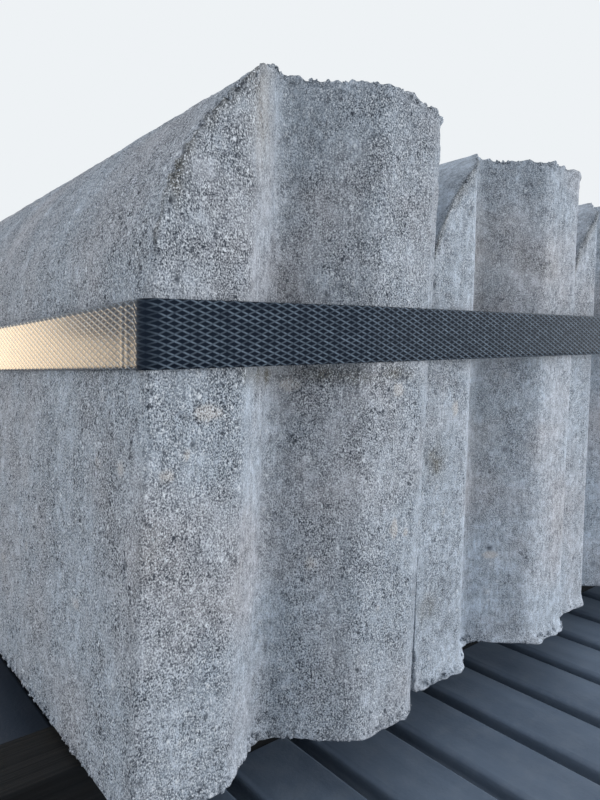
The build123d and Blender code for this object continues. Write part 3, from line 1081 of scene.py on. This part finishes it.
def embossed_polyester():
    material, tree = new_material("embossed_polyester")
    flat = node(tree, "ShaderNodeUVMap", uv_map="along_and_across")
    parts = node(tree, "ShaderNodeSeparateXYZ", {0: flat})
    along = node(tree, "ShaderNodeMath", {0: parts.outputs[0], 1: 1 / DIAMOND_LONG}, operation="MULTIPLY")
    across = node(tree, "ShaderNodeMath", {0: parts.outputs[1], 1: 1 / DIAMOND_HIGH}, operation="MULTIPLY")
    folds = []
    for way in ("ADD", "SUBTRACT"):
        line = node(tree, "ShaderNodeMath", {0: along, 1: across}, operation=way)
        folds.append(node(tree, "ShaderNodeMath", {0: line, 1: 0.5}, operation="PINGPONG"))
    ridges = []
    for fold, strength in zip(folds, (1.0, SECOND_RIDGE)):
        crest = {0: fold, 1: RIDGE_FOOT, 2: RIDGE_TOP, 4: strength}
        ridges.append(node(tree, "ShaderNodeMapRange", crest, interpolation_type="SMOOTHSTEP"))
    broken = node(tree, "ShaderNodeMapRange", {0: ridges[1], 2: SECOND_RIDGE, 3: 1.0, 4: CROSSING})
    dashes = node(tree, "ShaderNodeMath", {0: ridges[0], 1: broken}, operation="MULTIPLY")
    crossed = node(tree, "ShaderNodeMath", {0: dashes, 1: ridges[1]}, operation="MAXIMUM")
    # Near the bend the ridges are drawn lower and darker: the darker colour is painted shade of the fold.
    bend_flat_and_shade = node(tree, "ShaderNodeMapRange", {0: parts.outputs[0], 1: 1.5, 2: BEND_SHADE_REACH, 3: 0.25, 4: 1.0})
    height = node(tree, "ShaderNodeMath", {0: crossed, 1: bend_flat_and_shade}, operation="MULTIPLY")
    patch_noise = node(tree, "ShaderNodeTexNoise", {"Vector": flat, "Scale": 0.35, "Detail": 5, "Roughness": 0.6})
    patchy = node(tree, "ShaderNodeMapRange", {0: patch_noise, 1: 0.35, 2: 0.75, 3: 0.25, 4: 0.9})
    highlight_and_scuff = node(tree, "ShaderNodeMath", {0: height, 1: patchy}, operation="MULTIPLY")
    # Painted highlight: the ridges are drawn paler, in patches, where they would catch the sky.
    colour = node(tree, "ShaderNodeMix", {0: highlight_and_scuff, 6: STRAP_DARK, 7: RIDGE_HIGHLIGHT}, data_type="RGBA")
    gloss = node(tree, "ShaderNodeMapRange", {0: highlight_and_scuff, 3: 0.13, 4: 0.35})
    bump = node(tree, "ShaderNodeBump", {"Strength": 1.0, "Distance": EMBOSS_DEPTH, "Height": height})
    surface = node(
        tree,
        "ShaderNodeBsdfPrincipled",
        {
            "Base Color": colour,
            "Roughness": gloss,
            "IOR": 1.57,
            "Specular IOR Level": 0.19,
            "Specular Tint": SKY_REFLECTION_TINT,
            "Normal": bump,
        },
    )
    node(tree, "ShaderNodeOutputMaterial", {"Surface": surface})
    return material


strap_piece = strap_band(embossed_polyester())
print(strap_piece.name, "has", len(strap_piece.data.polygons), "faces")

# %% [markdown]
# The laths are sawn softwood, drawn nearly black as painted shade because they lie in shade under the row,
# with slightly paler streaks of grain along the bar. Stretched noise gives the grain. A photograph of wood
# would do it too, but drawn grain runs round all four faces of the bar.

# %% Weathered softwood
GRAIN_WIDTH = 1.6
GRAIN_LENGTH = 70.0
# Painted shade: the wood's colours are nearly black because the laths lie in shade under the row.
SHADED_DARK_STREAK = linear("#101214")
SHADED_PALE_STREAK = linear("#232323")
SHADED_GREY_WOOD = linear("#202428")


def softwood_in_painted_shade():
    material, tree = new_material("softwood_in_painted_shade")
    coords = node(tree, "ShaderNodeTexCoord").outputs["Object"]
    stretch = (1000 / GRAIN_LENGTH, 1000 / GRAIN_WIDTH, 1000 / GRAIN_WIDTH)
    grain_space = node(tree, "ShaderNodeMapping", {"Vector": coords, "Scale": stretch})
    fibres = {"Vector": grain_space, "Scale": 0.5, "Detail": 5, "Roughness": 0.65}
    grain = node(tree, "ShaderNodeTexNoise", fibres)
    spots = {"Vector": coords, "Scale": 38, "Detail": 4, "Roughness": 0.6}
    blotch = node(tree, "ShaderNodeTexNoise", spots)
    lines = node(tree, "ShaderNodeMapRange", {0: grain, 1: 0.34, 2: 0.66})
    wood = node(tree, "ShaderNodeMix", {0: lines, 6: SHADED_DARK_STREAK, 7: SHADED_PALE_STREAK}, data_type="RGBA")
    greyed = node(tree, "ShaderNodeMapRange", {0: blotch, 1: 0.4, 2: 0.7, 4: 0.6})
    colour = node(tree, "ShaderNodeMix", {0: greyed, 6: wood, 7: SHADED_GREY_WOOD}, data_type="RGBA")
    bump = node(tree, "ShaderNodeBump", {"Strength": 0.7, "Distance": 0.0004, "Height": lines})
    surface = node(
        tree,
        "ShaderNodeBsdfPrincipled",
        {"Base Color": colour, "Roughness": 0.82, "IOR": 1.5, "Specular IOR Level": 0.2, "Normal": bump},
    )
    node(tree, "ShaderNodeOutputMaterial", {"Surface": surface})
    return material


# %% [markdown]
# The pallet is moulded from recycled polyolefin, dark blue-grey and slightly waxy. Recycled plastic shows
# faint flow marks, and concrete dust gathers on it, most of all down in the grooves. The dust is keyed to
# height, because it falls: below the slats' tops it is thicker. The short end beside the first block is
# drawn much darker, down to the floor: that is painted shade.

# %% Recycled polyolefin
DECK_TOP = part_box("pallet_deck")[1].z
GROOVE_DEPTH = 0.0065
PAINTED_SHADE_EDGE = -0.53
PLASTIC_DARK = linear("#5b697a")
PLASTIC_PALE = linear("#718092")
CONCRETE_DUST = linear("#87909a")
PAINTED_SHADE_NAVY = linear("#182433")


def recycled_polyolefin():
    material, tree = new_material("recycled_polyolefin")
    coords = node(tree, "ShaderNodeTexCoord").outputs["Object"]
    mm = node(tree, "ShaderNodeMapping", {"Vector": coords, "Scale": (1000, 1000, 1000)})
    flow_space = node(tree, "ShaderNodeMapping", {"Vector": mm, "Scale": (0.05, 0.012, 0.05)})
    noises = []
    for space, scale, detail, rough in ((flow_space, 1.0, 5, 0.6), (mm, 0.12, 6, 0.7), (mm, 0.7, 3, 0.6)):
        sockets = {"Vector": space, "Scale": scale, "Detail": detail, "Roughness": rough}
        noises.append(node(tree, "ShaderNodeTexNoise", sockets))
    flow, patch_noise, specks = noises
    tone = node(tree, "ShaderNodeMapRange", {0: flow, 1: 0.35, 2: 0.65})
    plastic = node(tree, "ShaderNodeMix", {0: tone, 6: PLASTIC_DARK, 7: PLASTIC_PALE}, data_type="RGBA")
    height = node(tree, "ShaderNodeSeparateXYZ", {0: coords}).outputs[2]
    sunk = node(tree, "ShaderNodeMapRange", {0: height, 1: DECK_TOP - 0.001, 2: DECK_TOP - GROOVE_DEPTH})
    lying = node(tree, "ShaderNodeMapRange", {0: patch_noise, 1: 0.45, 2: 0.75, 4: 0.35})
    gathered = node(tree, "ShaderNodeMath", {0: sunk, 1: 0.25}, operation="MULTIPLY")
    powder = node(tree, "ShaderNodeMath", {0: lying, 1: gathered}, operation="ADD")
    colour = node(tree, "ShaderNodeMix", {0: powder, 6: plastic, 7: CONCRETE_DUST}, data_type="RGBA")
    across = node(tree, "ShaderNodeSeparateXYZ", {0: coords}).outputs[0]
    # Painted shade: the deck's short end beyond the first block is drawn dark navy.
    painted_shade = node(tree, "ShaderNodeMapRange", {0: across, 1: PAINTED_SHADE_EDGE + 0.015, 2: PAINTED_SHADE_EDGE, 4: 0.85})
    colour = node(tree, "ShaderNodeMix", {0: painted_shade, 6: colour, 7: PAINTED_SHADE_NAVY}, data_type="RGBA")
    gloss = node(tree, "ShaderNodeMapRange", {0: powder, 3: 0.42, 4: 0.85})
    fine = node(tree, "ShaderNodeMath", {0: specks, 1: flow}, operation="ADD")
    bump = node(tree, "ShaderNodeBump", {"Strength": 0.35, "Distance": 0.0003, "Height": fine})
    sockets = {"Base Color": colour, "Roughness": gloss, "IOR": 1.49, "Normal": bump}
    surface = node(tree, "ShaderNodeBsdfPrincipled", sockets)
    node(tree, "ShaderNodeOutputMaterial", {"Surface": surface})
    return material


SOFTWOOD = softwood_in_painted_shade()
POLYOLEFIN = recycled_polyolefin()
for name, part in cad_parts.items():
    if name.startswith(("lath", "pallet", "skid")):
        part.data.materials.clear()
        part.data.materials.append(SOFTWOOD if name.startswith("lath") else POLYOLEFIN)
        print(name, "is", part.data.materials[0].name)

# %% [markdown]
# The stage is plain: a pale floor, an even pale surround and three broad soft lamps, one to the right of
# the camera, one far to its left and one high behind the row. The front two have narrow beams, so that
# they don't burn out the floor. The blocks' walls that face right are the brightest in the photograph and
# those that face left are the darkest, which sets the lamps. Two warm lamps only show in reflections: the
# strap's long run mirrors them.

# %% Stage and lamps
FLOOR_SIZE = 12.0
SURROUND = 0.63
BEAM = 100
GLOW = "#ffe0b4"


def pale_ground():
    material, tree = new_material("pale_ground")
    ground = node(tree, "ShaderNodeBsdfDiffuse", {"Color": linear("#dcdcda")})
    node(tree, "ShaderNodeOutputMaterial", {"Surface": ground})
    return material


floor_mesh = bpy.data.meshes.new("floor")
half = FLOOR_SIZE / 2
floor_corners = [(-half, -half, 0), (half, -half, 0), (half, half, 0), (-half, half, 0)]
floor_mesh.from_pydata(floor_corners, [], [(0, 1, 2, 3)])
floor_mesh.materials.append(pale_ground())
floor = bpy.data.objects.new("floor", floor_mesh)
bpy.context.scene.collection.objects.link(floor)

world = bpy.data.worlds.new("surround")
bpy.context.scene.world = world
world.use_nodes = True
sky = world.node_tree
sky.nodes.clear()
rays = node(sky, "ShaderNodeLightPath")
shown = rays.outputs["Is Camera Ray"]
for kind in ("Is Glossy Ray", "Is Transmission Ray"):
    shown = node(sky, "ShaderNodeMath", {0: shown, 1: rays.outputs[kind]}, operation="MAXIMUM")
ambient = node(sky, "ShaderNodeBackground", {"Color": linear("#eef2f8"), "Strength": SURROUND})
backdrop = node(sky, "ShaderNodeBackground", {"Color": linear("#eef2f5"), "Strength": 1.0})
either = node(sky, "ShaderNodeMixShader", {0: shown, 1: ambient, 2: backdrop})
node(sky, "ShaderNodeOutputWorld", {0: either})


def soft_lamp(name, place, target, size, power, colour, spread=180):
    lamp = bpy.data.lights.new(name, "AREA")
    lamp.shape = "RECTANGLE"
    lamp.size, lamp.size_y = size
    lamp.energy = power
    lamp.color = linear(colour)[:3]
    lamp.spread = radians(spread)
    holder = bpy.data.objects.new(name, lamp)
    holder.location = place
    holder.rotation_euler = (Vector(target) - Vector(place)).to_track_quat("-Z", "Y").to_euler()
    holder.visible_camera = False
    bpy.context.scene.collection.objects.link(holder)
    return holder


lamps = [
    soft_lamp("right_lamp", (0.5, -1.05, 0.36), (-0.4, -0.3, 0.25), (0.7, 0.5), 3.6, "#fbfcff", BEAM),
    soft_lamp("left_lamp", (-2.5, -0.8, 0.5), (-0.5, -0.2, 0.25), (1.2, 0.8), 3.3, "#f6f9ff", BEAM),
    soft_lamp("back_lamp", (-0.6, 1.8, 1.9), (-0.4, 0.1, 0.3), (1.5, 1.5), 22, "#eef4ff"),
]
for lamp in lamps:
    lamp.visible_glossy = False
for name, x, z, size, power in (
    ("high_reflection", -0.74, 0.235, (0.6, 0.37), 3.15),
    ("low_reflection", -1.19, 0.19, (0.3, 0.29), 1.3),
):
    glow = soft_lamp(name, (x, 1.2, z), (x, 0, z), size, power, GLOW)
    glow.visible_diffuse = False
print(len(lamps), "soft lamps and two glows")
bpy.context.scene.view_settings.view_transform = "Standard"
